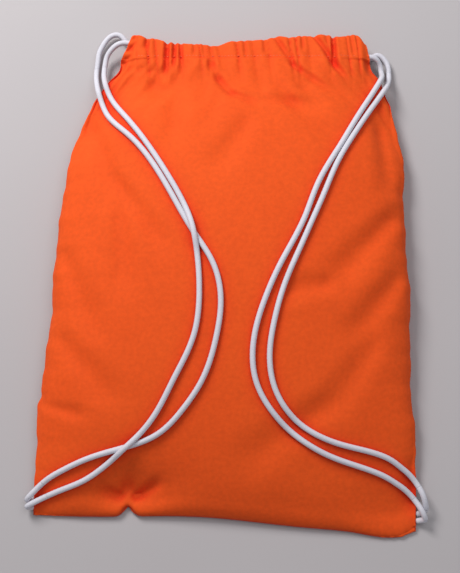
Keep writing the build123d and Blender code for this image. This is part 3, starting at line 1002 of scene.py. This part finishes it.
def add_bottom_seam():
    """Turned cloth and row of stitches of the bottom seam."""
    seam_low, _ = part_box("bottom_seam")
    edge = bottom_line(300, 1 * MM, 0.4 * MM - BOTTOM_SEAM_HALF[0], seam_low.z + 0.3 * MM)
    add_fixed(ribbon("bottom_seam_cloth", edge, *BOTTOM_SEAM_HALF, 0.1 * MM), "back", "bottom_seam")
    line = bottom_line(110, 9 * MM, -3.1 * MM, seam_low.z - 0.6 * MM)
    row = stitches_along("bottom_seam_stitches", line, 2.4 * MM, 0.35 * MM)
    add_fixed(row, "back", "bottom_seam_stitching")


def add_hem_stitches(level, x, z):
    """Row of stitches along the foot of a hem."""
    row = stitches_along(f"{level}_hem_stitches", line_of(x, stitching.y, z), 2.6 * MM, 0.38 * MM)
    add_fixed(row, level, f"{level}_hem_stitching")


for side in SIDES:
    add_side_seam(side)
add_bottom_seam()
front_x = np.linspace(casing_low.x + 6 * MM, casing_high.x - 8 * MM, HEM_STITCH_COUNT)
front_z = np.array([cloth_height(x, stitching.y) for x in front_x]) - 0.15 * MM
add_hem_stitches("front", front_x, front_z)
thread_low, thread_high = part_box("back_hem_stitching")
back_x = np.linspace(thread_low.x, thread_high.x, HEM_STITCH_COUNT)
add_hem_stitches("back", back_x, box_centre("back_hem_stitching").z)

# ---- Thickness of the cloth sheets, and the body of the back sheet ----
thicken(front_cloth)
blend_by(front_cloth, front_weight(points_of(front_cloth)))
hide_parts("front_panel", "front_hem_casing")
thicken(back_cloth)
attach(back_cloth, "back")
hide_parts("back_panel", "back_hem_casing")


# ---- Materials ----
class Finish:
    """A node material being put together, in the coordinates of its own piece."""

    def __init__(self, name, roughness, gloss, sheen):
        self.material = bpy.data.materials.new(name)
        self.material.use_nodes = True
        self.nodes = self.material.node_tree.nodes
        self.links = self.material.node_tree.links
        self.shader = self.nodes["Principled BSDF"]
        self.shader.inputs["Roughness"].default_value = roughness
        self.shader.inputs["Specular IOR Level"].default_value = gloss
        self.shader.inputs["Sheen Weight"].default_value = sheen
        self.place = self.nodes.new("ShaderNodeTexCoord").outputs["Object"]

    def fill(self, node, **values):
        """Sets inputs of a node by name, with _ for a space, to values or to outputs of other nodes."""
        for key, value in values.items():
            slot = node.inputs[key.replace("_", " ")]
            if isinstance(value, bpy.types.NodeSocket):
                self.links.new(value, slot)
            else:
                slot.default_value = value

    def noise(self, scale, detail=2):
        node = self.nodes.new("ShaderNodeTexNoise")
        self.fill(node, Scale=scale, Detail=detail, Vector=self.place)
        return node.outputs["Fac"]

    def mix(self, first, second, factor, mode="MIX"):
        """Mix of two colours."""
        node = self.nodes.new("ShaderNodeMix")
        node.data_type = "RGBA"
        node.blend_type = mode
        self.fill(node, A=first, B=second, Factor=factor)
        return node.outputs["Result"]

    def rescale(self, value, old, new):
        node = self.nodes.new("ShaderNodeMapRange")
        self.fill(node, Value=value, From_Min=old[0], From_Max=old[1], To_Min=new[0], To_Max=new[1])
        return node.outputs["Result"]

    def relief(self, height, strength, depth):
        """Bump from a height, on top of any bump set before."""
        node = self.nodes.new("ShaderNodeBump")
        self.fill(node, Height=height, Strength=strength, Distance=depth)
        if self.shader.inputs["Normal"].is_linked:
            self.fill(node, Normal=self.shader.inputs["Normal"].links[0].from_socket)
        self.fill(self.shader, Normal=node.outputs["Normal"])


WEAVE_PITCH = 1.0851 * MM
WAVE_BANDS = 20 / math.tau  # bands that the wave texture draws per metre at scale 1
# Reach of the ambient occlusion that paints shade into the folds of the cloth.
PAINTED_SHADE_REACH = 14 * MM
ORANGE = ((0.885, 0.090, 0.008, 1), (0.955, 0.112, 0.011, 1))
PAINTED_SHADE_TINT = (0.90, 0.30, 0.6, 1)  # painted shade: deepens the orange in folds
SHEEN_TINT = (1, 0.35, 0.15, 1)
GLOW_COLOUR = (0.9, 0.05, 0.006, 1)  # light that comes through the cloth
GLOW_SHARE = 0.14
WHITE = ((0.52, 0.52, 0.59, 1), (0.73, 0.71, 0.77, 1))
THREAD = ((0.70, 0.075, 0.010, 1), (0.92, 0.15, 0.03, 1))
PALE = ((0.455, 0.430, 0.440, 1), (0.495, 0.470, 0.480, 1))


def weave_height(finish):
    """Height of a plain weave: two crossed sets of bands."""
    weave = finish.nodes.new("ShaderNodeMath")
    weave.operation = "MULTIPLY"
    for direction, slot in zip(("X", "Y"), weave.inputs):
        wave = finish.nodes.new("ShaderNodeTexWave")
        wave.bands_direction = direction
        finish.fill(wave, Scale=1 / WEAVE_PITCH / WAVE_BANDS, Distortion=0.6, Detail=1, Vector=finish.place)
        finish.links.new(wave.outputs["Fac"], slot)
    return weave.outputs["Value"]


def painted_shade_share(finish):
    """Share of painted shade in folds, from ambient occlusion: 1 deep in a fold and 0 in the open."""
    occlusion = finish.nodes.new("ShaderNodeAmbientOcclusion")
    occlusion.samples = 4
    finish.fill(occlusion, Distance=PAINTED_SHADE_REACH)
    return finish.rescale(occlusion.outputs["AO"], (0.5, 0.97), (1, 0))


def cloth_material():
    finish = Finish("orange_cloth", roughness=0.82, gloss=0.25, sheen=0.08)
    finish.fill(finish.shader, Sheen_Roughness=0.5, Sheen_Tint=SHEEN_TINT)
    slub = finish.noise(scale=260, detail=3)
    tone = finish.mix(*ORANGE, finish.noise(scale=14, detail=5))
    tone = finish.mix(tone, finish.rescale(slub, (0.3, 0.7), (0.72, 1.08)), 0.35, "MULTIPLY")
    # Painted shade: the orange is multiplied towards a deeper red where ambient occlusion finds a fold.
    tone = finish.mix(tone, PAINTED_SHADE_TINT, painted_shade_share(finish), "MULTIPLY")
    finish.fill(finish.shader, Base_Color=tone)
    finish.relief(weave_height(finish), strength=0.35, depth=0.12 * MM)
    finish.relief(slub, strength=0.25, depth=0.5 * MM)
    glow = finish.nodes.new("ShaderNodeBsdfTranslucent")
    finish.fill(glow, Color=GLOW_COLOUR)
    both = finish.nodes.new("ShaderNodeMixShader")
    both.inputs["Fac"].default_value = GLOW_SHARE
    finish.links.new(finish.shader.outputs["BSDF"], both.inputs[1])
    finish.links.new(glow.outputs["BSDF"], both.inputs[2])
    finish.links.new(both.outputs["Shader"], finish.nodes["Material Output"].inputs["Surface"])
    return finish.material


def cord_material():
    finish = Finish("white_braid", roughness=0.7, gloss=0.3, sheen=0.15)
    fuzz = finish.noise(scale=900, detail=3)
    finish.fill(finish.shader, Base_Color=finish.mix(*WHITE, fuzz))
    finish.relief(fuzz, strength=0.3, depth=0.2 * MM)
    return finish.material


def thread_material():
    finish = Finish("orange_thread", roughness=0.55, gloss=0.5, sheen=0.2)
    finish.fill(finish.shader, Base_Color=finish.mix(*THREAD, finish.noise(scale=1500)))
    return finish.material


def floor_material():
    finish = Finish("pale_floor", roughness=0.9, gloss=0.2, sheen=0)
    finish.fill(finish.shader, Base_Color=finish.mix(*PALE, finish.noise(scale=3)))
    return finish.material


# The last word of a piece's name says what it is made of.
finishes = {
    "cloth": ("cloth", cloth_material()),
    "cord": ("cord", cord_material()),
    "stitches": ("thread", thread_material()),
}
for piece in pieces:
    slot, material = finishes[piece.name.rsplit("_", 1)[1]]
    piece.data.materials.clear()
    piece.data.materials.append(material)

# ---- Floor, light and camera ----
def make_floor():
    reach = 12.0
    corners = [(-reach, -reach, 0), (reach, -reach, 0), (reach, reach, 0), (-reach, reach, 0)]
    floor = new_piece("floor", corners, [(0, 1, 2, 3)])
    floor.data.materials.append(floor_material())


def aimed(name, data, place, aim):
    """Object at a place that looks at a point."""
    holder = bpy.data.objects.new(name, data)
    holder.location = place
    holder.rotation_euler = (Vector(aim) - Vector(place)).to_track_quat("-Z", "Y").to_euler()
    bpy.context.scene.collection.objects.link(holder)
    return holder


def area_light(name, place, aim, size, power, colour):
    light = bpy.data.lights.new(name, "AREA")
    light.shape = "DISK"
    light.size = size
    light.energy = power
    light.color = colour
    aimed(name, light, place, aim)


def make_world():
    world = bpy.data.worlds.new("studio")
    world.use_nodes = True
    background = world.node_tree.nodes["Background"]
    background.inputs["Color"].default_value = (0.97, 0.97, 1.0, 1)
    background.inputs["Strength"].default_value = 0.34
    bpy.context.scene.world = world
    bpy.context.scene.view_settings.view_transform = "Standard"


def make_camera():
    """Camera that looks down on the bag, leaning a little towards its bottom edge."""
    distance = 1.03
    tilt = math.radians(11)
    target = Vector((0.0047, -0.0053, 0.02))
    camera = bpy.data.cameras.new("camera")
    camera.sensor_fit = "VERTICAL"
    camera.sensor_height = 24
    camera.lens = 45.445
    place = target + distance * Vector((0, -math.sin(tilt), math.cos(tilt)))
    bpy.context.scene.camera = aimed("camera", camera, place, target)


make_floor()
area_light("key", (-0.62, 0.92, 1.0), (0, 0.05, 0), 0.6, 18.5, (1.0, 0.985, 0.97))
area_light("fill", (0.6, 0.6, 1.8), (0, 0, 0), 1.6, 8, (0.97, 0.98, 1.0))
make_world()
make_camera()
